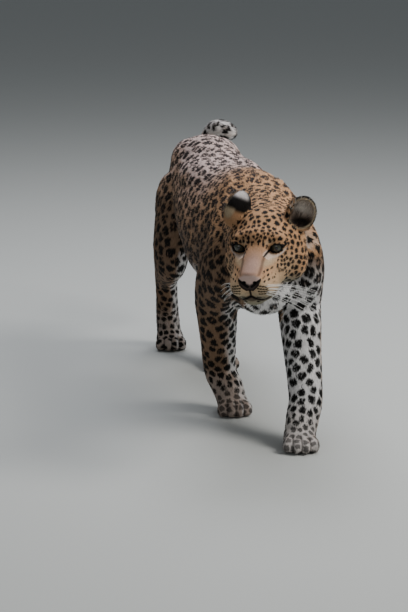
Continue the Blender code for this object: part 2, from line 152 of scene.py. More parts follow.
for spare in (0.002, -0.003):
    fine = bmesh.new()
    fine.from_mesh(skin.data)
    fine.verts.ensure_lookup_table()
    inside = face_zone(in_head(np.array([v.co for v in fine.verts])), spare)
    edges = [e for e in fine.edges if inside[e.verts[0].index] and inside[e.verts[1].index]]
    cut = bmesh.ops.subdivide_edges(fine, edges=edges, cuts=1, use_grid_fill=True)
    fresh = list({v for e in edges if e.is_valid for v in e.verts}
                 | {g for g in cut["geom"] if isinstance(g, bmesh.types.BMVert)})
    for _ in range(3):
        bmesh.ops.smooth_vert(fine, verts=fresh, factor=0.5,
                              use_axis_x=True, use_axis_y=True, use_axis_z=True)
    fine.to_mesh(skin.data)
    fine.free()

# How the coat grows. It is short and flat on the face and feet and longest on the flank, belly
# and tail. It lies from the nose back over the body and down each leg, so every point of the
# skin takes the part that it belongs to and the lie of that part.
# Length of a tuft, depth of the coat, distance between tufts, width of a tuft, distance between marks
COAT = {
    "head": (0.0075, 0.0012, 0.00228, 0.0014, 0.0132),
    "ear": (0.0070, 0.0003, 0.00228, 0.0014, 0.0150),
    "nose": (0.0020, 0.0001, 0.00228, 0.0009, 0.0150),
    "neck": (0.0130, 0.0028, 0.00350, 0.0023, 0.0178),
    "torso": (0.0135, 0.0032, 0.00373, 0.0026, 0.0262),
    "foreleg_upper": (0.0115, 0.0028, 0.00339, 0.0023, 0.0265),
    "foreleg_lower": (0.0090, 0.0022, 0.00309, 0.0020, 0.0205),
    "forepaw": (0.0065, 0.0012, 0.0028, 0.0017, 0.0140),
    "hindleg_upper": (0.0120, 0.0030, 0.00353, 0.0024, 0.0245),
    "hindleg_lower": (0.0090, 0.0022, 0.00309, 0.0020, 0.0210),
    "hindfoot": (0.0070, 0.0014, 0.00286, 0.0018, 0.0150),
    "tail": (0.0140, 0.0026, 0.00321, 0.0024, 0.0250),
}
LEG_JOINTS = {
    "foreleg_left": ((.046, -.285, .580), (.096, -.400, .432), (.101, -.345, .318),
                     (.086, -.485, .105), (.057, -.585, .032)),
    "foreleg_right": ((-.046, -.275, .584), (-.090, -.385, .436), (-.088, -.275, .322),
                      (-.055, -.165, .104), (-.030, -.240, .032)),
    "hindleg_left": ((.062, .310, .520), (.096, .195, .345), (.060, .372, .188),
                     (.040, .286, .050), (.030, .215, .030)),
    "hindleg_right": ((-.062, .320, .520), (-.100, .265, .310), (-.074, .472, .204),
                      (-.060, .528, .054), (-.058, .465, .030)),
}
TAIL_PATH = ((0, .360, .570), (.004, .430, .550), (.020, .505, .455), (.045, .570, .350),
             (.072, .650, .300), (.092, .720, .345), (.094, .745, .440), (.094, .728, .525),
             (.100, .700, .572), (.117, .668, .588), (.138, .655, .580))
# The line that the hair of the trunk follows, and what turns it aside
TRUNK = {"tail": (TAIL_PATH, (0, 0, 0)), "neck": (((-.06, -.62, .50), (-.02, -.40, .46)), (0, 0, -0.1)),
         "torso": (((0, -.42, .48), (0, .42, .47)), (0, 0, 0))}
# In the head's frame: hair of the face parts at the nose, and hair of an ear at its root
NOSE_TIP, BACKWARD, EAR_ROOT = (0, -0.105, -0.046), (0, 0.35, 0), (0.060, 0.085, 0.010)
FLANK_FROM, FLANK_FALL = 0.04, (0, 0, -0.35)
LIE_ROUNDS, COAT_ROUNDS = 24, 8


def kind_of(node):
    """The row of the coat's table for a part of the body."""
    if node.startswith("eye"):
        return "head"
    return "tail" if node.startswith("tail") else node.replace("_left", "").replace("_right", "")


def bones_of(node):
    """Points of the straight lengths that the hair of a part follows, and what turns it aside."""
    if kind_of(node) in TRUNK:
        path, extra = TRUNK[kind_of(node)]
    else:
        leg = next(joints for name, joints in LEG_JOINTS.items()
                   if name.split("_")[1] in node and name[:4] == node[:4])
        if "upper" in node:
            path, extra = leg[:3], (0, 0.5, -0.6)
        elif "lower" in node:
            path, extra = leg[1:4], (0, 0, -0.3)
        else:
            path, extra = leg[3:], (0, 0, 0)
    return [np.array(p) + figure_middle for p in path], np.array(extra)


def unit(vectors):
    return vectors / np.maximum(np.linalg.norm(vectors, axis=1, keepdims=True), 1e-9)


def along_skin(ways, outs):
    """Directions laid flat on the skin, whose own outward directions are outs."""
    return unit(ways - (ways * outs).sum(1, keepdims=True) * outs)


places = read_numbers(skin.data.vertices, "co", 3)
outward = read_numbers(skin.data.vertices, "normal", 3)
links = read_numbers(skin.data.edges, "vertices", 2, int)
link_count = np.maximum(np.bincount(links.ravel(), minlength=len(places)), 1)


def spread(values, rounds):
    """Values of the skin's points, smoothed over their neighbours."""
    values = values.astype(float)
    for _ in range(rounds):
        total = np.empty_like(values)
        for k in range(values.shape[1]):
            total[:, k] = (np.bincount(links[:, 0], values[links[:, 1], k], len(values))
                           + np.bincount(links[:, 1], values[links[:, 0], k], len(values)))
        values = 0.4 * values + 0.6 * total / link_count[:, None]
    return values


node_names = list(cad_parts)
all_points, all_faces, face_node = [], [], []
for index, node in enumerate(node_names):
    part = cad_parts[node]
    start = len(all_points)
    all_points += [part.matrix_world @ v.co for v in part.data.vertices]
    all_faces += [[start + k for k in p.vertices] for p in part.data.polygons]
    face_node += [index] * len(part.data.polygons)
solids = BVHTree.FromPolygons(all_points, all_faces)
label = np.array([face_node[solids.find_nearest(Vector(p))[2]] for p in places])
kinds = np.array([kind_of(name) for name in node_names])
coat_row = np.array([COAT[kind] for kind in kinds])[label]

here = in_head(places)
lie = np.zeros_like(places)
for index, node in enumerate(node_names):
    mine = label == index
    if not mine.any():
        continue
    if kinds[index] in ("head", "nose", "ear"):
        if kinds[index] == "ear":
            side = 1 if node == "ear_left" else -1
            aim = here[mine] - np.array((side, 1, 1)) * EAR_ROOT
        else:
            aim = unit(here[mine] - NOSE_TIP) + BACKWARD
        lie[mine] = unit(aim) @ out_of_head[:3, :3].T
        continue
    path, extra = bones_of(node)
    best = np.full(mine.sum(), 1e9)
    for a, b in zip(path, path[1:]):
        along = np.clip((places[mine] - a) @ (b - a) / ((b - a) @ (b - a)), 0, 1)
        gap = np.linalg.norm(places[mine] - a - along[:, None] * (b - a), axis=1)
        way = unit(unit((b - a)[None]) + extra)
        lie[mine] = np.where((gap < best)[:, None], way, lie[mine])
        best = np.minimum(gap, best)
flank = (label == node_names.index("torso")) & (abs(places[:, 0]) > FLANK_FROM)
lie[flank] += FLANK_FALL
lie = spread(lie, LIE_ROUNDS)
coat_row = spread(coat_row, COAT_ROUNDS)
lie = along_skin(lie, outward)

# The face. Lids, nose leather and lips are sculpted in the skin: the lids ride on the balls of
# the eyes, and mouth, philtrum and nostrils are pressed in. Sizes are in the head's frame.
LID_OPENING = ((-.0150, -.0048), (-.0110, -.0082), (-.0050, -.0096), (.0030, -.0088), (.0095, -.0052),
               (.0146, .0028), (.0112, .0068), (.0040, .0084), (-.0050, .0070), (-.0110, .0022))
NOSE_OUTLINE = ((.0245, -.040), (.025, -.048), (.018, -.059), (.007, -.069), (-.007, -.069), (-.018, -.059),
                (-.025, -.048), (-.0245, -.040), (-.012, -.033), (.012, -.033))
MOUTH_PATH = ((0, -.0850), (.011, -.0905), (.024, -.0965), (.036, -.0995), (.046, -.0995))
MOUTH_SIDE = ((-.086, -.0985), (-.070, -.1000), (-.052, -.0970), (-.036, -.0915))
NOSTRIL = (.0125, -.0515)
PHILTRUM = ((0, -.068), (0, -.086))
LID_STANDS, BALL_CLEAR = 0.0019, 0.0035
# The distance given to points that a line of the face can't reach
FAR = 1.0


def ramp(values, start, end):
    """0 at start, 1 at end, smooth between."""
    t = np.clip((values - start) / (end - start), 0, 1)
    return t * t * (3 - 2 * t)


def from_path(across, up, path):
    """Distance of points from an open line in the face's plane."""
    nearest = np.full(len(across), 1e9)
    for (ax, az), (bx, bz) in zip(path, path[1:]):
        run, rise = bx - ax, bz - az
        along = np.clip(((across - ax) * run + (up - az) * rise) / (run ** 2 + rise ** 2), 0, 1)
        nearest = np.minimum(nearest, np.hypot(across - ax - along * run, up - az - along * rise))
    return nearest


def from_outline(across, up, outline):
    """Signed distance of points from a closed outline in the face's plane, below 0 inside it."""
    closed = outline + outline[:1]
    inside = np.zeros(len(across), bool)
    for (ax, az), (bx, bz) in zip(closed, closed[1:]):
        if az != bz:
            inside ^= ((az > up) != (bz > up)) & (across < (bx - ax) * (up - az) / (bz - az) + ax)
    nearest = from_path(across, up, closed)
    return np.where(inside, -nearest, nearest)


def face_lines(points):
    """Distances of points in the head's frame from lids, nose leather, mouth, philtrum, nostrils."""
    aside, back, up = abs(points[:, 0]), points[:, 1], points[:, 2]
    lids = np.full(len(points), FAR)
    for side, centre in eye_centres.items():
        off = points - centre
        gap = from_outline(off[:, 0] * side, off[:, 2], LID_OPENING)
        lids = np.where((off[:, 1] < 0.006) & (np.linalg.norm(off, axis=1) < 0.054), gap, lids)
    front = back < -0.078
    leather = np.where(front, from_outline(points[:, 0], up, NOSE_OUTLINE), FAR)
    mouth = np.where(back < -0.052, from_path(aside, up, MOUTH_PATH), FAR)
    beside = (aside > 0.026) & (back < -0.02)
    mouth = np.minimum(mouth, np.where(beside, from_path(back, up, MOUTH_SIDE), FAR))
    philtrum = np.where(front, from_path(points[:, 0], up, PHILTRUM), FAR)
    nostrils = np.where(front, np.hypot((aside - NOSTRIL[0]) / 1.25, up - NOSTRIL[1]), FAR)
    return lids, leather, mouth, philtrum, nostrils


def pressed(gap, depth, width, power=2):
    """How deep a line is pressed into the skin at a distance from it."""
    return depth * np.exp(-(gap / width) ** power)


# Drawn in by the coat, but hardly at all at the lids, nose and lips
lids, leather, mouth, philtrum, nostrils = face_lines(here)
bare = np.minimum(ramp(lids, 0.002, 0.012), ramp(leather, 0.001, 0.010))
bare = np.minimum(bare, ramp(mouth, 0.001, 0.010))
places -= outward * (coat_row[:, 1] * bare)[:, None]
here = in_head(places)

for side, centre in eye_centres.items():
    off = here - centre
    near = (np.linalg.norm(off, axis=1) < 0.056) & (off[:, 1] < 0.007) & (here[:, 0] * side > 0)
    shell = np.where(lids < 0, EYE_RADIUS - BALL_CLEAR, EYE_RADIUS + LID_STANDS)
    deep = np.sqrt(np.maximum(shell ** 2 - off[:, 0] ** 2 - off[:, 2] ** 2, 0.0065 ** 2))
    hold = np.where(near & (lids < 0.011), np.where(lids < 0, 1, ramp(lids, 0.011, 0.0008)), 0)
    here[:, 1] = here[:, 1] * (1 - hold) + (centre[1] - deep) * hold
turned = outward @ into_head[:3, :3].T
dent = pressed(mouth, 0.0030, 0.0014) + pressed(philtrum, 0.0020, 0.0012)
dent += pressed(nostrils, 0.0055, 0.0030, 4)
dent += pressed(leather, 0.0010, 0.0013) * ramp(here[:, 2], -0.050, -0.058)
here -= turned * dent[:, None]
places = from_head(here)

# The feet. Each stands flat, with four toes in a fan before it. The creases between the toes are
# pressed into the skin and darkened with painted shade, in the hide and the short fur.
# Each foot: its middle on the ground and its turn
FEET = (((.057, -.545), -8), ((-.030, -.203), -4), ((.030, .255), 6), ((-.058, .505), -6))
TOE_GAPS, CREASE, CREASE_DEPTH = (-.0193, 0, .0193), 0.0024, 0.0022


def between_toes(points):
    """How near places on the feet lie to the creases between the toes, from 0 to 1."""
    near = np.zeros(len(points))
    for (x, y), turn in FEET:
        turned = math.radians(turn)
        off = points[:, :2] - (x + figure_middle.x, y + figure_middle.y)
        along = -off[:, 0] * math.sin(turned) + off[:, 1] * math.cos(turned)
        sideways = off[:, 0] * math.cos(turned) + off[:, 1] * math.sin(turned)
        on_toes = ramp(along, -0.020, -0.036) * (along > -0.085) * (abs(sideways) < 0.04)
        for gap in TOE_GAPS:
            crease = np.exp(-((sideways - gap * (1 - 4 * (along + 0.04))) / CREASE) ** 2)
            near = np.maximum(near, crease * on_toes)
    return near * ramp(points[:, 2], 0.050, 0.036)


places -= outward * (CREASE_DEPTH * between_toes(places))[:, None]
skin.data.vertices.foreach_set("co", places.astype(np.float32).ravel())
skin.data.update()
outward = read_numbers(skin.data.vertices, "normal", 3)
here = in_head(places)
for poly in skin.data.polygons:
    poly.use_smooth = True

# An unwrap of the hide's own shape, for the baked colours
skin.data.uv_layers.new(name="OFBake")
bpy.context.view_layer.objects.active = skin
skin.select_set(True)
bpy.ops.object.mode_set(mode="EDIT")
bpy.ops.mesh.select_all(action="SELECT")
bpy.ops.uv.smart_project(angle_limit=1.15, island_margin=0.001)
bpy.ops.object.mode_set(mode="OBJECT")

# The markings. Rosettes lie over the back, flanks and haunches, and solid spots on the head,
# neck and legs. Each mark is a ring or cluster of blots about its own point on the skin, and
# hide and coat both take their colours from the same marks.
RING_PARTS = ("torso", "hindleg_upper", "foreleg_upper", "tail")
# Places tried per square metre, a cell wider than the gap of two marks, rounds of evening out
MARK_TRIES, MARK_CELL, MARK_ROUNDS = 60000, 0.027, 3
MARK_SIZE, FACE_CLOSER, SOLID_BELOW, SOLID_SHARE = 1.16, 0.36, 0.36, 0.7
draw = np.random.default_rng(28)


def scatter(mesh, amount):
    """Random places on the skin: the triangle, its corners' points and their shares."""
    mesh.calc_loop_triangles()
    tri_points = read_numbers(mesh.loop_triangles, "vertices", 3, int)
    areas = read_numbers(mesh.loop_triangles, "area", 1)
    count = int(areas.sum() * amount)
    picked = draw.choice(len(areas), count, p=areas / areas.sum())
    share = draw.random((count, 2))
    share = np.where(share.sum(1, keepdims=True) > 1, 1 - share, share)
    return picked, tri_points[picked], np.column_stack((1 - share.sum(1), share))


def at(values, points, share):
    """Values of the skin's points, carried over to scattered places."""
    if values.ndim == 1:
        return (values[points] * share).sum(1)
    return (values[points] * share[..., None]).sum(1)


def tree_of(points):
    """A search tree for the nearest of some places."""
    tree = KDTree(len(points))
    for k, spot in enumerate(points):
        tree.insert(Vector(spot), k)
    tree.balance()
    return tree


_, corners, share = scatter(skin.data, MARK_TRIES)
spots_at = at(places, corners, share)
apart = at(coat_row, corners, share)[:, 4]
spot_here = in_head(spots_at)
face = ramp(spot_here[:, 1], 0.055, -0.02) * (np.linalg.norm(spot_here, axis=1) < 0.13)
apart *= 1 - FACE_CLOSER * face
cells, kept = {}, []
for k, (spot, gap) in enumerate(zip(spots_at, apart)):
    cell = tuple(int(c // MARK_CELL) for c in spot)
    around = [m for dx in (-1, 0, 1) for dy in (-1, 0, 1) for dz in (-1, 0, 1)
              for m in cells.get((cell[0] + dx, cell[1] + dy, cell[2] + dz), ())]
    if all(np.sum((spots_at[m] - spot) ** 2) > (0.5 * (gap + apart[m])) ** 2 for m in around):
        cells.setdefault(cell, []).append(k)
        kept.append(k)
marks = np.array(kept)
nearest_place = tree_of(spots_at)
for _ in range(MARK_ROUNDS):
    nearest_mark = tree_of(spots_at[marks])
    owner = np.array([nearest_mark.find(Vector(spot))[1] for spot in spots_at[::2]])
    shares = np.maximum(np.bincount(owner, minlength=len(marks)), 1)
    middles = np.column_stack([np.bincount(owner, spots_at[::2, k], len(marks)) / shares
                               for k in range(3)])
    marks = np.unique([nearest_place.find(Vector(middle))[1] for middle in middles])
mark_at, mark_size = spots_at[marks], apart[marks] * (MARK_SIZE + 0.10 * face[marks])
mark_out = unit(at(outward, corners[marks], share[marks]))
mark_lie = along_skin(at(lie, corners[marks], share[marks]), mark_out)
ringed = np.isin(kinds[label[corners[marks, 0]]], RING_PARTS)
lower = (mark_at[:, 2] < SOLID_BELOW) | (mark_out[:, 2] < -0.45)
ringed &= ~(lower & (draw.random(len(marks)) < SOLID_SHARE))

# In shares of a mark's size: how far blots lie from its middle in a rosette and in a cluster, and
# how far a blot's edge swings, slowly and fast
BLOTS, RING_REACH, CLUSTER_REACH, SLOW, FAST = 6, 0.325, 0.17, 0.045, 0.025
turns = draw.random((len(marks), 1)) * 2 * np.pi
count = np.where(ringed, draw.integers(3, 6, len(marks)), draw.integers(1, 4, len(marks)))
step = np.arange(BLOTS)[None, :]
angle = turns + 2 * np.pi * step / count[:, None] + draw.normal(0, 0.20, (len(marks), BLOTS))
reach = np.where(ringed[:, None], RING_REACH, np.where(count[:, None] > 1, CLUSTER_REACH, 0))
reach = reach * draw.uniform(0.85, 1.15, angle.shape)
stretch = np.where(ringed, 1.12, 1.30)[:, None]
blot_along, blot_across = reach * np.cos(angle) * stretch, reach * np.sin(angle) / stretch
blot_size = np.where(ringed[:, None], 0.315 - 0.018 * count[:, None], 0.465 - 0.050 * count[:, None])
blot_size = blot_size * draw.uniform(0.82, 1.20, angle.shape)
blot_size = np.where(step < count[:, None], blot_size, 0)
waves = draw.random((len(marks), 4)) * 2 * np.pi
mark_tree = tree_of(mark_at)
# Depths inside a mark are told in this length, about one rosette
MARK_UNIT = 0.025


def marks_near(points):
    """For places on the skin: how far they lie inside a dark blot, and inside a rosette's heart."""
    hits = [mark_tree.find_n(Vector(p), 2) for p in points]
    close = np.array([[hit[1] for hit in hit_row] for hit_row in hits])
    apart_from = np.array([[hit[2] for hit in hit_row] for hit_row in hits])
    seam = 0.085 * mark_size[close[:, 0]] - (apart_from[:, 1] - apart_from[:, 0]) / 2
    inside = np.full(len(points), FAR)
    heart = np.full(len(points), FAR)
    for k in close.T:
        off, size, wave = points - mark_at[k], mark_size[k], waves[k].T
        along = (off * mark_lie[k]).sum(1) / size
        across = (off * np.cross(mark_out[k], mark_lie[k])).sum(1) / size
        deep = (off * mark_out[k]).sum(1) / size
        along, across = (
            along + SLOW * np.sin(9 * across + wave[0]) + FAST * np.sin(21 * across + wave[2]),
            across + SLOW * np.sin(9 * along + wave[1]) + FAST * np.sin(21 * along + wave[3]))
        gap = np.sqrt((along[:, None] - blot_along[k]) ** 2 + (across[:, None] - blot_across[k]) ** 2
                      + 0.35 * deep[:, None] ** 2) - blot_size[k]
        gap = np.where(blot_size[k] > 0, gap, FAR)
        inside = np.minimum(inside, gap.min(1) * size / MARK_UNIT - 0.01)
        middle = np.hypot(along / stretch[k, 0], across * stretch[k, 0]) - 0.30
        heart = np.minimum(heart, np.where(ringed[k], middle, FAR))
    return np.maximum(inside, seam / MARK_UNIT), heart


def shade(red, green, blue):
    """A colour from its eight-bit numbers, made linear."""
    tone = np.array((red, green, blue)) / 255
    return np.where(tone <= 0.04045, tone / 12.92, ((tone + 0.055) / 1.055) ** 2.4)


def lay(base, *layers):
    """Base with more laid over it in turn: each time a colour, then its amount at every point."""
    for colour, amount in zip(layers[::2], layers[1::2]):
        base = base + (colour - base) * np.clip(amount, 0, 1)[:, None]
    return base


# The deeper gold is partly the coat's own tone and partly painted shade
GOLD, DEEP_GOLD_AND_SHADE, RUMP_SKY_SHEEN = shade(182, 140, 102), shade(122, 98, 78), shade(196, 174, 166)
# The grey is painted shade on the white under the head
WHITE, CREAM, CHIN_SHADE = shade(224, 221, 219), shade(184, 164, 134), shade(130, 126, 108)
# The slate is the dark marks under a painted sky sheen
BLACK, SLATE_SKY_SHEEN, HEART = shade(12, 9, 7), shade(36, 28, 26), shade(104, 76, 54)
# The black rim colour is real on the lids and eye corners, and painted shade in the nostrils and the mouth
# The dark edge colour is the dark edge of nose and philtrum, and painted shade along the mouth and between
# the toes
LEATHER, DARK_EDGE_AND_SHADE, DARK_RIM_AND_SHADE = shade(196, 170, 160), shade(34, 26, 25), shade(10, 8, 8)
# The reddish-brown is painted shade down the sides of the bridge
BRIDGE, PALE_LID, BRIDGE_SIDE_SHADE = shade(162, 132, 119), shade(214, 194, 178), shade(66, 42, 34)
# The lip colour is the dark lip, with painted shade under the upper lip
LIP_AND_SHADE, PAW = shade(50, 42, 36), shade(196, 183, 174)
EAR_PATCH, EAR_CUP = shade(204, 197, 194), shade(214, 204, 192)
# The dark of both ear cups is painted shade
CUP_WALL, CUP_FOOT_SHADE, RIGHT_CUP_SHADE = shade(146, 124, 108), shade(24, 18, 15), shade(40, 30, 26)
# Patches of the face, alike on both sides: across, up, width, height, colour, strength
FACE_PATCHES = (
    (.000, -.022, .025, .024, BRIDGE, 0.95), (.034, -.020, .014, .0070, CREAM, 0.75),
    (.030, .0150, .010, .0050, CREAM, 0.55), (.030, -.066, .022, .019, CREAM, 0.80),
    # The grey patches under the chin and the lower lip are painted shade
    (.000, -.106, .032, .016, CHIN_SHADE, 0.85), (.062, -.045, .022, .026, CREAM, 0.45),
    (.044, -.100, .026, .016, CHIN_SHADE, 0.60),
)
# Small dark marks of the face, alike on both sides: across, up, width, height
FACE_SPOTS = (
    (.0075, .014, .0018, .0040), (.0165, .019, .0020, .0040), (.0290, .0215, .0026, .0070),
    (.0275, -.0350, .0021, .0030), (.0340, -.0330, .0021, .0026), (.0410, -.0320, .0022, .0024),
    (.0300, -.0430, .0020, .0024), (.0370, -.0415, .0021, .0023), (.0440, -.0400, .0022, .0023),
    (.0510, -.0390, .0023, .0023), (.0330, -.0500, .0019, .0020), (.0400, -.0490, .0021, .0021),
    (.0470, -.0480, .0022, .0022), (.0540, -.0475, .0023, .0022), (.0500, -.0570, .0023, .0020),
    (.0565, -.0570, .0024, .0022), (.0200, -.0865, .0080, .0018), (.0340, -.0900, .0080, .0018),
    (.0440, -.0850, .0050, .0020), (.0140, -.0990, .0046, .0020),
)
# A line from each eye's inner corner down beside the bridge, where painted shade lies
BRIDGE_SIDE_LINE = ((.0260, -.006), (.0225, -.014), (.0215, -.034))
EYE_CORNERS = (((.0290, -.0042), (.0235, -.0082)), ((.0570, .0030), (.0620, .0050)))
NOSTRIL_SLIT = ((.0245, -.0455), (.0130, -.0535), (.0045, -.0610))
# Each ear's own frame, with its shell and the cup in it as ellipsoids: a middle and half sizes
EAR_PLACE = {1: (.076, .076, .034), -1: (-.074, .080, .046)}
EAR_TURN = {1: (.12, .40, .30), -1: (-.20, -.42, -1.95)}
EAR_FRAMES = {side: np.array(Matrix.LocRotScale(EAR_PLACE[side], Euler(EAR_TURN[side]), None))
              for side in (1, -1)}
EAR_SHELL = ((0, .006, .018), (.034, .024, .043))
EAR_CUP_SHAPE = ((0, -.016, .0255), (.0290, .0370, .0340))
EAR_BLACK_END = {1: (0.004, -0.008), -1: (0.020, 0.008)}


def ear_places(spots, side):
    """Places in one ear's own frame, and how far out they lie in its cup and in its shell."""
    local = (spots - EAR_FRAMES[side][:3, 3]) @ EAR_FRAMES[side][:3, :3]
    return [local] + [np.linalg.norm((local - middle) / size, axis=1)
                      for middle, size in (EAR_CUP_SHAPE, EAR_SHELL)]


# Each row of whiskers on one side: its height in front, and how far it sinks to the back
WHISKER_ROWS = ((-.0560, .006), (-.0625, .004), (-.0690, .002), (-.0755, .000))
ROW_ROOTS, ROW_START, ROOT_GAP, ROW_SHIFT = 4, 0.0195, 0.0058, 0.0012


def whisker_roots():
    """Points of the whisker rows on one side of the muzzle, across and up."""
    return [(ROW_START + ROOT_GAP * n + ROW_SHIFT * row, up - sink * n / ROW_ROOTS)
            for row, (up, sink) in enumerate(WHISKER_ROWS) for n in range(ROW_ROOTS)]


def wobble(points):
    """A slow random swing over the body, for the edges of its pale and golden parts."""
    x, y, z = points.T
    return (np.sin(61 * x + 37 * z) * np.sin(47 * y + 1.3)
            + 0.5 * np.sin(131 * y + 83 * z) * np.sin(97 * x + 2))


def ears_colour(spots, inside):
    """Colours of the ears: black behind with a pale patch, golden at the root, a shaded cup before."""
    colour = BLACK
    for side in (1, -1):
        local, cup, on_ear = ear_places(spots, side)
        along, tall = local[:, 0], local[:, 2]
        if side > 0:
            # Left cup: pale in its middle, with painted shade at its foot
            hollow = lay(CUP_WALL, EAR_CUP, np.exp(-((tall - 0.028) / 0.013) ** 2 - (along / 0.020) ** 2),
                         CUP_FOOT_SHADE, ramp(tall - 0.3 * along, 0.014, 0.002))
            edge_colour = lay(GOLD, BLACK, ramp(inside, 0.03, -0.03))
            edge = ramp(along - 0.25 * (tall - 0.03), -0.012, -0.021) * ramp(tall, 0.052, 0.040)
        else:
            # Right cup: cream below, with painted shade filling it above
            hollow = lay(CREAM, RIGHT_CUP_SHADE, ramp(tall, 0.012, 0.024))
            edge_colour, edge = CREAM, ramp(along, 0.0265, 0.0305) * ramp(tall, 0.024, 0.012)
        both = lay(BLACK, EAR_PATCH, np.exp(-((tall - 0.047 + 0.008 * side) / 0.0095) ** 4
                                            - ((along + 0.007 * (side - 1)) / 0.018) ** 4),
                   GOLD, ramp(tall, *EAR_BLACK_END[side]), hollow, ramp(cup, 1.10, 1.03),
                   CREAM, ramp(on_ear, 0.86, 1.0) * ramp(cup, 1.16, 1.04) * 0.9, edge_colour, edge)
        colour = np.where((spots[:, 0] * side > 0)[:, None], both, colour)
    return colour


def with_face_dots(colour, spots, seen):
    """Colours with the small dark marks of the face and the dots at the whiskers' roots."""
    aside, back, up = abs(spots[:, 0]), spots[:, 1], spots[:, 2]
    for across, height, wide, tall in FACE_SPOTS:
        gap = np.hypot((aside - across) / wide, (up - height) / tall)
        gap += 0.12 * np.sin(spots[:, 0] * 900 + across * 800)
        colour = lay(colour, BLACK, seen * ramp(gap, 1.25, 0.8) * ramp(back, -0.004, -0.020))
    for across, height in whisker_roots():
        gap = np.hypot((aside - across) / 1.6, up - height)
        colour = lay(colour, BLACK, seen * (back < -0.05) * ramp(gap, 0.0024, 0.0014) * 0.9)
    return colour


def with_features(colour, spots, front, head, neck):
    """Colours with the eyes' rims, painted shade beside the bridge, nose leather, nostrils and lips, with
    painted shade in the nostrils and under the upper lip.
    """
    aside, up = abs(spots[:, 0]), spots[:, 2]
    lids, leather, mouth, philtrum, nostrils = face_lines(spots)
    under_lid = ramp(lids, 0.0036, 0.0048) * ramp(lids, 0.0095, 0.0065) * ramp(up, 0.001, -0.005)
    corners = np.minimum(*(from_path(aside, up, line) for line in EYE_CORNERS))
    fold = ramp(up + 0.5 * (0.0245 - aside), -0.0415, -0.0475)
    edge = ramp(leather, -0.006, 0.001) * (leather < 0.0014) * ramp(up, -0.046, -0.056)
    lip = np.hypot(spots[:, 0] / 0.014, (up + 0.0925) / 0.0060)
    return lay(
        # Painted shade down the sides of the bridge
        colour, BRIDGE_SIDE_SHADE, front * ramp(from_path(aside, up, BRIDGE_SIDE_LINE), 0.0050, 0.0008) * 0.62,
        PALE_LID, front * under_lid * 0.8, DARK_RIM_AND_SHADE, front * ramp(corners, 0.0030, 0.0014),
        DARK_RIM_AND_SHADE, head * ramp(lids, 0.0034, 0.0018), LEATHER, ramp(leather, 0.0012, -0.0040),
        DARK_EDGE_AND_SHADE, ramp(leather, 0.0012, -0.0004) * fold * 0.92,
        # Painted shade in the slits beside the nostrils
        DARK_RIM_AND_SHADE, (leather < 0.001) * ramp(from_path(aside, up, NOSTRIL_SLIT), 0.0036, 0.0020),
        DARK_EDGE_AND_SHADE, np.maximum(edge, ramp(philtrum, 0.0040, 0.0012) * (leather > 0)),
        # Painted shade in the nostrils
        DARK_RIM_AND_SHADE, ramp(nostrils, 0.0048, 0.0030),
        # The lips are dark, and painted shade darkens them under the upper lip and along the mouth
        LIP_AND_SHADE, front * ramp(lip, 1.25, 0.6) * (spots[:, 1] < -0.06) * 0.75,
        DARK_EDGE_AND_SHADE, ramp(mouth, 0.0062, 0.0022) * ~neck * 0.8,
        DARK_RIM_AND_SHADE, ramp(mouth, 0.0032, 0.0014) * ~neck)


ON_FORELEG = np.array([name.startswith("fore") for name in node_names])
ON_HINDLEG = np.array([name.startswith("hind") for name in node_names])
SIDES = np.where(["right" in name for name in node_names], -1, 1)


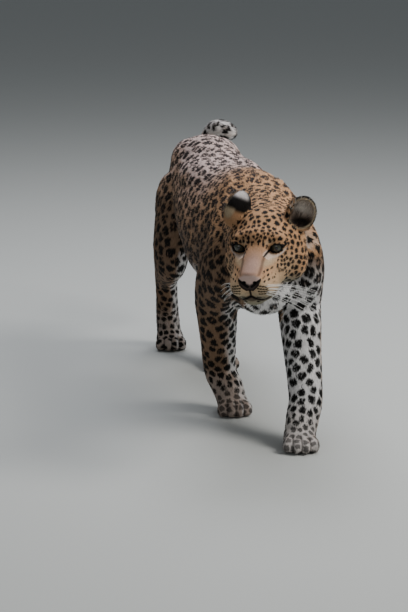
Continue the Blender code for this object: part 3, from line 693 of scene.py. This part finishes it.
def hide_colour(points, out, part):
    """The colour of hide and coat at places on the skin, with its markings, painted shade and a painted sky
    sheen.
    """
    x, y, z = points.T
    out_x, out_y, out_z = out.T
    spots = in_head(points)
    aside, back, height = abs(spots[:, 0]), spots[:, 1], spots[:, 2]
    inside, heart = marks_near(points)
    names, fore, hind, side = kinds[part], ON_FORELEG[part], ON_HINDLEG[part], SIDES[part]
    torso, tail, neck, ears = (names == name for name in ("torso", "tail", "neck", "ear"))
    head, legs = np.isin(names, ("head", "nose")), fore | hind
    swing = wobble(points)
    up = out_z + 0.16 * swing

    # Gold on the back; a deeper gold on the flanks where they turn down, partly the coat's own tone and
    # partly painted shade; a painted pale sky sheen on the top of the rump; white on belly and breast
    # The top of the back, where a pale sky sheen is painted
    top = ramp(z, 0.40, 0.57) * ramp(up, -0.1, 0.9)
    flanks = torso | neck | np.isin(names, ("hindleg_upper", "foreleg_upper"))
    below = ramp(up, -0.25, -0.75)
    under = np.where(torso | tail, below, neck * below * ramp(back, 0.08, 0.15))
    breast = torso * ramp(y, -0.33, -0.42) * ramp(out_y, -0.1, -0.6)
    under = np.maximum(under, breast * ramp(z, 0.46, 0.36))
    front_end = np.isin(names, ("head", "neck")) * ramp(back + 0.006 * swing, 0.060, 0.150)
    throat = front_end * ramp(-out_y - 0.8 * up, 0.1, 0.8) * ramp(z, 0.44, 0.36)
    pale_side = ramp(out_x - 0.5 * out_y, 0.35, 1.0) * ramp(z + 0.008 * swing, 0.535, 0.445)
    pale_side = 0.6 * front_end * pale_side * ramp(y, -0.40, -0.48)
    under = np.maximum(np.maximum(under, throat), pale_side)

    # Legs are white inside, and the left foreleg in front too
    before = fore * (side > 0) * ramp(-out_y - 0.35 * out_x * side, -0.25, 0.35)
    inner = np.maximum(ramp(-out_x * side + 0.14 * swing, -0.10, 0.55), before)
    cheek = head * ramp(height + 0.3 * aside, -0.030, -0.085)
    colour = lay(
        # Flanks turning down from the top: deeper gold, partly painted shade
        GOLD, DEEP_GOLD_AND_SHADE, flanks * ramp(up, 0.5, -0.1),
        # Top of the rump and tail: a painted pale sky sheen
        RUMP_SKY_SHEEN, (torso | tail) * top * ramp(y, -0.34, 0.04),
        WHITE, np.where(legs, inner * ramp(z, 0.45, 0.35), under),
        # Outer sides of the legs: deeper gold, partly painted shade
        DEEP_GOLD_AND_SHADE, legs * (1 - inner) * 0.9, PAW, legs * ramp(z, 0.13, 0.06) * 0.55,
        WHITE, tail * ramp(z, 0.555, 0.58) * (y > 0.62) * 0.8,
        CREAM, cheek * 0.7 * ramp(back, 0.13, 0.06),
        # Underside of the head: painted shade
        CHIN_SHADE, head * ramp(out_z, -0.35, -0.8) * 0.8 * ramp(back, 0.13, 0.06))
    front = head * ramp(back, 0.065, 0.03)
    for across, level, width, tall, patch, strength in FACE_PATCHES:
        spread_out = ((aside - across) / width) ** 2 + ((height - level) / tall) ** 2
        colour = lay(colour, patch, front * strength * np.exp(-spread_out ** 1.5))

    # Marks over it all, but none on the bridge of the nose, the lips and the chin
    plain = (aside < 0.048) & (height < 0.002) | (aside < 0.013 + 0.2 * height) & (height < 0.016)
    plain |= (height < -0.05) & (aside < 0.056)
    dark = np.where(ears | head & plain & (back < 0.01), 0, ramp(inside, 0.035, -0.035))
    faint = 0.6 * throat * ramp(x, 0.02, -0.03) + 0.25 * fore * ramp(z, 0.075, 0.030)
    # Under the painted sky sheen on top, the dark marks turn slate and the rosettes' hearts fade
    colour = lay(colour, lay(colour * 0.86, HEART, 0.65 - 0.5 * top), ramp(heart, 0.02, -0.04),
                 lay(BLACK, SLATE_SKY_SHEEN, (torso | tail) * top), dark * (1 - faint))
    ahead = ramp(-(out @ into_head[:3, :3].T)[:, 1], 0.20, 0.45)
    colour = with_face_dots(colour, spots, front * ahead)
    paws = np.isin(names, ("forepaw", "hindfoot"))
    # Painted shade in the creases between the toes
    colour = lay(colour, DARK_EDGE_AND_SHADE, paws * between_toes(points) * 0.75)
    colour = with_features(colour, spots, front, head, neck)
    return np.where(ears[:, None], ears_colour(spots, inside), colour)


def paint(mesh, name, colours):
    """Keeps colours at a mesh's points under a name."""
    field = mesh.attributes.new(name, "FLOAT_COLOR", "POINT")
    tones = np.column_stack((colours, np.ones(len(colours)))).astype(np.float32)
    field.data.foreach_set("color", tones.ravel())


class Sock:
    """A socket of a material, with sums written as Python expressions."""

    def __init__(self, tree, socket):
        self.tree, self.socket = tree, socket

    def wire(self, kind, settings, inputs, output=0):
        """A new node in the same material: its settings, then its sockets' values or links."""
        node = self.tree.nodes.new(kind)
        for name, value in settings.items():
            setattr(node, name, value)
        for name, value in inputs.items():
            if isinstance(value, Sock):
                self.tree.links.new(value.socket, node.inputs[name])
            else:
                node.inputs[name].default_value = value
        return Sock(self.tree, node.outputs[output])

    def feed(self, name, value):
        """Links a socket to an input of the node that this one belongs to."""
        self.tree.links.new(value.socket, self.socket.node.inputs[name])

    def maths(self, operation, one, two):
        return self.wire("ShaderNodeMath", {"operation": operation}, {0: one, 1: two})

    def __add__(self, other):
        return self.maths("ADD", self, other)

    def __mul__(self, other):
        return self.maths("MULTIPLY", self, other)

    def __sub__(self, other):
        return self.maths("SUBTRACT", self, other)

    def __rsub__(self, other):
        return self.maths("SUBTRACT", other, self)

    __radd__, __rmul__ = __add__, __mul__


def finish_of(name, roughness, **fixed):
    """A new material and its shader's socket, with the numbers that are the same all over."""
    material = bpy.data.materials.new(name)
    material.use_nodes = True
    shader = material.node_tree.nodes["Principled BSDF"]
    shader.inputs["Roughness"].default_value = roughness
    for socket, value in fixed.items():
        shader.inputs[socket.replace("_", " ")].default_value = value
    return material, Sock(material.node_tree, shader.outputs[0])


def hair_finish():
    """The finish of hide and coat: the painted colours, broken up along fine hairs."""
    material, shader = finish_of("coat", 0.70, Specular_IOR_Level=0.16)
    painted = shader.wire("ShaderNodeAttribute", {"attribute_name": "hide"}, {}, "Color")
    where = shader.wire("ShaderNodeTexCoord", {}, {}, "Object")
    grain = shader.wire("ShaderNodeTexNoise", {}, {"Vector": where, "Scale": 900.0, "Detail": 3.0})
    patch = shader.wire("ShaderNodeTexNoise", {}, {"Vector": where, "Scale": 26.0, "Detail": 2.0})
    light = grain * 0.5 + patch * 0.35 + 0.575
    shader.feed("Base Color", shader.wire("ShaderNodeVectorMath", {"operation": "SCALE"},
                                          {0: painted, "Scale": light}))
    shader.feed("Normal", shader.wire("ShaderNodeBump", {},
                                      {"Height": grain, "Strength": 0.35, "Distance": 0.0006}))
    return material


coat_finish = hair_finish()
skin.data.materials.clear()
skin.data.materials.append(coat_finish)
paint(skin.data, "hide", hide_colour(places, outward, label))
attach(skin, "root")
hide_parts(*flesh)

# The eyes. Smooth balls set deep behind the lids: grey-green iris, round black pupil, and a
# clear wet cornea that bulges a little.
IRIS_TURN, PUPIL_TURN = 0.74, 0.27
CORNEA_BULGE = 0.0011
EYE_WHITE, IRIS_EDGE, IRIS = shade(46, 34, 28), shade(24, 20, 16), shade(56, 57, 46)
IRIS_HEART, PUPIL = shade(78, 71, 48), shade(4, 4, 4)
for side, node in ((1, "eye_left"), (-1, "eye_right")):
    ball = bmesh.new()
    bmesh.ops.create_uvsphere(ball, u_segments=56, v_segments=44, radius=EYE_RADIUS - 0.0004)
    for vert in ball.verts:
        turn = vert.co.angle(Vector((0, 0, 1)))
        if turn < IRIS_TURN:
            vert.co += vert.co.normalized() * CORNEA_BULGE * (1 - (turn / IRIS_TURN) ** 2)
    gaze = Vector((0.10 - 0.02 * side, -1, -0.02)).normalized()
    spin = gaze.to_track_quat("Z", "Y").to_matrix().to_4x4()
    turns = np.array([vert.co.angle(Vector((0, 0, 1))) for vert in ball.verts])
    place = head_place @ Matrix.Translation(Vector(eye_centres[side])) @ spin
    bmesh.ops.transform(ball, matrix=place, verts=ball.verts)
    mesh = mesh_of(ball, "eye")
    for poly in mesh.polygons:
        poly.use_smooth = True
    paint(mesh, "iris", lay(
        EYE_WHITE, IRIS_EDGE, ramp(turns, IRIS_TURN + 0.08, IRIS_TURN),
        IRIS, ramp(turns, IRIS_TURN, IRIS_TURN - 0.12),
        IRIS_HEART, ramp(turns, PUPIL_TURN + 0.16, PUPIL_TURN + 0.02) * 0.7,
        PUPIL, ramp(turns, PUPIL_TURN + 0.02, PUPIL_TURN - 0.02)))
    glass, shader = finish_of(node, 0.12, Specular_IOR_Level=0.2, Coat_Weight=1.0, Coat_Roughness=0.02)
    shader.feed("Base Color", shader.wire("ShaderNodeAttribute", {"attribute_name": "iris"}, {}, "Color"))
    mesh.materials.append(glass)
    eye = new_piece(node + "_ball", mesh)
    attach(eye, "root")
    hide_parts(node)

# The coat. Flat tufts of hair rooted in the hide, thin and overlapping, each lying along the
# body. They are short and close on the face and feet, and longest on belly, flank and tail.
PIECE_TUFTS = 24000
TUFT_TRIES = 900000
LIFT = 0.26
ROOT_PATCH = 0.003
WILD, CUP_WILD, OWN_TONE = 0.16, 0.30, 0.10
# Tones of the wild hairs in the ear cups: painted shade and pale
CUP_HAIR_SHADE, CUP_PALE = shade(56, 45, 38), shade(220, 212, 200)
CELL_PRIMES = (73856093, 19349663, 83492791, 15485863)
near_face = ramp(np.linalg.norm(here - (0, -0.085, -0.055), axis=1), 0.045, 0.10)
on_head = np.isin(kinds[label], ("head", "nose"))
length = coat_row[:, 0] * np.where(on_head, 0.42 + 0.58 * near_face, 1)
length *= 1 + 0.45 * ramp(outward[:, 2], -0.45, -0.9) * (kinds[label] == "torso")
skin_uv = read_numbers(skin.data.uv_layers["OFBake"].data, "uv", 2)
picked, corners, share = scatter(skin.data, TUFT_TRIES)

# Of the places tried in one small cell, the first grows a tuft, but none on lids, nose and lips
part = label[corners[:, 0]]
spacing = np.array([COAT[kind][2] for kind in kinds])[part]
roots = at(places, corners, share)
cell = np.floor(roots / spacing[:, None]).astype(np.int64)
key = np.bitwise_xor.reduce(np.column_stack((cell, part)) * np.array(CELL_PRIMES), axis=1)
chosen = np.unique(key, return_index=True)[1]
lids, leather, mouth, _, nostrils = face_lines(in_head(roots[chosen]))
furred = (lids > 0.0022) & (leather > 0.0012) & (mouth > 0.0016) & (nostrils > 0.004)
chosen = draw.permutation(chosen[furred & (roots[chosen, 2] > 0.0035)])
picked, corners, share, roots, part = (
    values[chosen] for values in (picked, corners, share, roots, part))
tri_loops = read_numbers(skin.data.loop_triangles, "loops", 3, int)[picked]
root_uv = (skin_uv[tri_loops] * share[..., None]).sum(1)
root_out = unit(at(outward, corners, share))
root_lie = along_skin(at(lie, corners, share), root_out)
across = np.cross(root_out, root_lie)
swing = draw.normal(0, WILD, (len(roots), 1))
root_lie, across = (root_lie * np.cos(swing) + across * np.sin(swing),
                    across * np.cos(swing) - root_lie * np.sin(swing))
long = (at(length, corners, share) * draw.uniform(0.75, 1.2, len(roots)))[:, None]
wide = (at(coat_row, corners, share)[:, 3] * draw.uniform(0.8, 1.2, len(roots)))[:, None]
lift = LIFT * draw.uniform(0.7, 1.3, (len(roots), 1))

# Hair in an ear's cup is longer, and some of it stands wild: pale, with painted shade near the foot of the
# left cup
root_spots = in_head(roots)
on_left = root_spots[:, 0] > 0
(left_places, left_cup, _), (_, right_cup, _) = (ear_places(root_spots, side) for side in (1, -1))
cup = np.where(on_left, left_cup, right_cup)
on_ear = kinds[part] == "ear"
in_cup = on_ear & (cup < 1.05) & (draw.random(len(roots)) < CUP_WILD)
long[in_cup] *= 1.9
long[on_ear & (cup >= 1.05) & (cup < 1.16)] *= 1.15
lift[in_cup] *= 1.2
near_colour = hide_colour(roots + root_lie * long * 0.40, root_out, part)
tip_colour = hide_colour(roots + root_lie * long * 0.92, root_out, part)
# The wild hairs run from painted shade at the foot of the left cup to pale above; in the right cup they
# take half of each
cup_light = np.where(on_left, ramp(left_places[:, 2], 0.010, 0.024), 0.5)[:, None]
cup_tone = CUP_HAIR_SHADE * (1 - cup_light) + CUP_PALE * cup_light
for tint in (near_colour, tip_colour):
    tint[in_cup] = (tint * 0.4 + cup_tone * 0.6)[in_cup]
own_tone = draw.normal(1, OWN_TONE, (len(roots), 1)).clip(0.72, 1.3)

# Each tuft is six points: two in the skin, two at its belly, one on its back and the tip
TUFT_COLOUR = np.stack([near_colour] * 5 + [tip_colour], axis=1) * own_tone[:, None]
sunk = roots - root_out * 0.0009 - root_lie * 0.0006
belly = roots + root_lie * long * 0.46 + root_out * long * 0.46 * lift
tip = roots + root_lie * long + root_out * long * lift * 0.62
TUFT = np.stack((sunk - across * wide * 0.32, sunk + across * wide * 0.32,
                 belly - across * wide * 0.5, belly + across * wide * 0.5,
                 belly + root_out * wide * 0.18, tip), axis=1)
TUFT[:, :, 2] = np.maximum(TUFT[:, :, 2], 0.0003)
TUFT_TONE = np.array((0.80, 0.80, 0.96, 0.96, 1.03, 1.10))
TUFT_PATCH = np.array(((-0.3, -0.5), (0.3, -0.5), (-0.5, 0), (0.5, 0), (0, 0), (0, 0.5))) * ROOT_PATCH
TUFT_FACES = np.array(((0, 1, 3), (0, 3, 2), (2, 3, 5), (0, 4, 1),
                       (0, 2, 4), (1, 4, 3), (2, 5, 4), (3, 4, 5)))


def coat_piece(number, tufts):
    """One piece of the coat: its tufts joined in one mesh, with their colours, normals and unwrap."""
    mesh = bpy.data.meshes.new("coat")
    count = len(tufts)
    faces = (TUFT_FACES[None] + 6 * np.arange(count)[:, None, None]).reshape(-1)
    mesh.vertices.add(count * 6)
    mesh.vertices.foreach_set("co", TUFT[tufts].astype(np.float32).ravel())
    mesh.loops.add(len(faces))
    mesh.loops.foreach_set("vertex_index", faces.astype(np.int32))
    mesh.polygons.add(len(faces) // 3)
    mesh.polygons.foreach_set("loop_start", np.arange(0, len(faces), 3, dtype=np.int32))
    mesh.polygons.foreach_set("use_smooth", np.ones(len(faces) // 3, bool))
    mesh.update(calc_edges=True)
    tones = (TUFT_COLOUR[tufts] * TUFT_TONE[None, :, None]).reshape(-1, 3)
    paint(mesh, "hide", tones)
    patches = (root_uv[tufts][:, None] + TUFT_PATCH[None]).reshape(-1, 2)
    layer = mesh.uv_layers.new(name="OFBake")
    layer.data.foreach_set("uv", patches[faces].astype(np.float32).ravel())
    own = read_numbers(mesh.vertices, "normal", 3)
    leaning = unit(own * 0.45 + np.repeat(root_out[tufts], 6, axis=0) * 0.75)
    mesh.normals_split_custom_set_from_vertices(leaning.tolist())
    mesh.materials.append(coat_finish)
    piece = new_piece(f"coat_{number:02d}", mesh)
    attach(piece, "root")


order = np.argsort(roots[:, 1], kind="stable")
for number, start in enumerate(range(0, len(order), PIECE_TUFTS)):
    coat_piece(number, order[start:start + PIECE_TUFTS])

# The whiskers. Long white bristles in rows on the muzzle, each a thin tapered rod with its root
# in the lip. The left ones spread to the side, and the shorter right ones lie back along the cheek.
WHISKER_ROOT, WHISKER_TIP = 0.0010, 0.00027
WHISKER_SWEEP, WHISKER_LENGTH, WHISKER_DROOP = {1: 0.48, -1: 1.9}, {1: 0.155, -1: 0.10}, 0.30
surface = BVHTree.FromPolygons([Vector(p) for p in places],
                               [tuple(p.vertices) for p in skin.data.polygons])
whiskers = bmesh.new()


def bristle(root, way, size):
    """Adds one bristle that leaves its root along way and sags to its tip."""
    thick = WHISKER_ROOT / 2
    ring = bmesh.ops.create_circle(whiskers, cap_ends=True, segments=5, radius=thick)["verts"]
    face = next(f for f in ring[0].link_faces)
    place = Matrix.Translation(root) @ way.to_track_quat("Z", "Y").to_matrix().to_4x4()
    bmesh.ops.transform(whiskers, matrix=place, verts=ring)
    steps = 7
    widths = [thick + (WHISKER_TIP - thick) * step / steps for step in range(steps + 1)]
    for step in range(1, steps + 1):
        extruded = bmesh.ops.extrude_face_region(whiskers, geom=[face], use_keep_orig=(step == 1))["geom"]
        ring = [g for g in extruded if isinstance(g, bmesh.types.BMVert)]
        face = next(g for g in extruded if isinstance(g, bmesh.types.BMFace))
        move = way * size / steps + Vector((0, 0, -WHISKER_DROOP * size * (2 * step - 1) / steps ** 2))
        bmesh.ops.translate(whiskers, vec=move, verts=ring)
        middle = sum((v.co for v in ring), Vector()) / len(ring)
        bmesh.ops.scale(whiskers, vec=(widths[step] / widths[step - 1],) * 3,
                        space=Matrix.Translation(-middle), verts=ring)


whisker_draw = np.random.default_rng(5)
for side in (1, -1):
    for k, (across_at, up_at) in enumerate(whisker_roots()):
        if k % ROW_ROOTS == 0:
            continue
        ahead = from_head(np.array([[side * across_at, -0.16, up_at]]))[0]
        hit, normal, _, _ = surface.ray_cast(Vector(ahead), head_turn @ Vector((0, 1, 0)))
        if hit is None:
            continue
        rise = 0.08 - 0.13 * (k // ROW_ROOTS) * whisker_draw.uniform(0.6, 1.3)
        way = Vector((side, WHISKER_SWEEP[side] * whisker_draw.uniform(0.75, 1.2), rise))
        size = WHISKER_LENGTH[side] * whisker_draw.uniform(0.68, 1.0)
        way = (head_turn @ way).normalized()
        bristle(hit - normal * 0.0015, way, size)
bmesh.ops.recalc_face_normals(whiskers, faces=whiskers.faces)
whisker_mesh = mesh_of(whiskers, "whiskers")
whisker_mesh.materials.append(finish_of("whisker", 0.35, Base_Color=(0.86, 0.84, 0.80, 1))[0])
whisker_piece = new_piece("whiskers", whisker_mesh)
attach(whisker_piece, "root")

# The room: a plain pale floor, soft light from above and the photograph's point of view.
floor_shape = bmesh.new()
bmesh.ops.create_grid(floor_shape, x_segments=1, y_segments=1, size=14)
floor_mesh = mesh_of(floor_shape, "floor")
floor_mesh.materials.append(finish_of("floor", 0.9, Base_Color=(0.46, 0.47, 0.45, 1))[0])
floor = new_piece("floor", floor_mesh)

room = bpy.data.worlds.new("room")
room.use_nodes = True
room.node_tree.nodes["Background"].inputs["Color"].default_value = (0.86, 0.93, 1.0, 1)
room.node_tree.nodes["Background"].inputs["Strength"].default_value = 0.20
bpy.context.scene.world = room
# Each lamp: its place, what it points at, its width, strength and colour
LAMPS = (("key", (2.4, -1.6, 3.0), (0, -0.1, 0.35), 1.5, 135, (1.0, 0.98, 0.95)),
         ("sky", (0.2, 1.1, 3.6), (0, 0.1, 0.45), 2.6, 125, (0.92, 0.94, 1.0)),
         ("front", (-2.4, -4.4, 2.0), (0, -0.4, 0.35), 2.4, 15, (1.0, 0.98, 0.96)))
for name, place, target, width, power, colour in LAMPS:
    lamp = new_piece(name, bpy.data.lights.new(name, "AREA"))
    lamp.data.size, lamp.data.energy, lamp.data.color = width, power, colour
    lamp.location = place
    lamp.rotation_euler = (Vector(target) - Vector(place)).to_track_quat("-Z", "Y").to_euler()

# The photograph's own view: its focal length and height in pixels, and how far it looks down
FOCUS, PHOTO_HEIGHT, DIP = 2205, 612, math.radians(12.55)
camera = new_piece("camera", bpy.data.cameras.new("camera"))
camera.data.sensor_width, camera.data.lens = 36, FOCUS / PHOTO_HEIGHT * 36
camera.data.clip_end = 60
camera.location = Vector((-1.138, -5.383, 1.45)) + figure_middle
camera.rotation_mode = "QUATERNION"
look = Vector((0.196 * math.cos(DIP), 0.981 * math.cos(DIP), -math.sin(DIP)))
camera.rotation_quaternion = look.to_track_quat("-Z", "Y")
bpy.context.scene.camera = camera
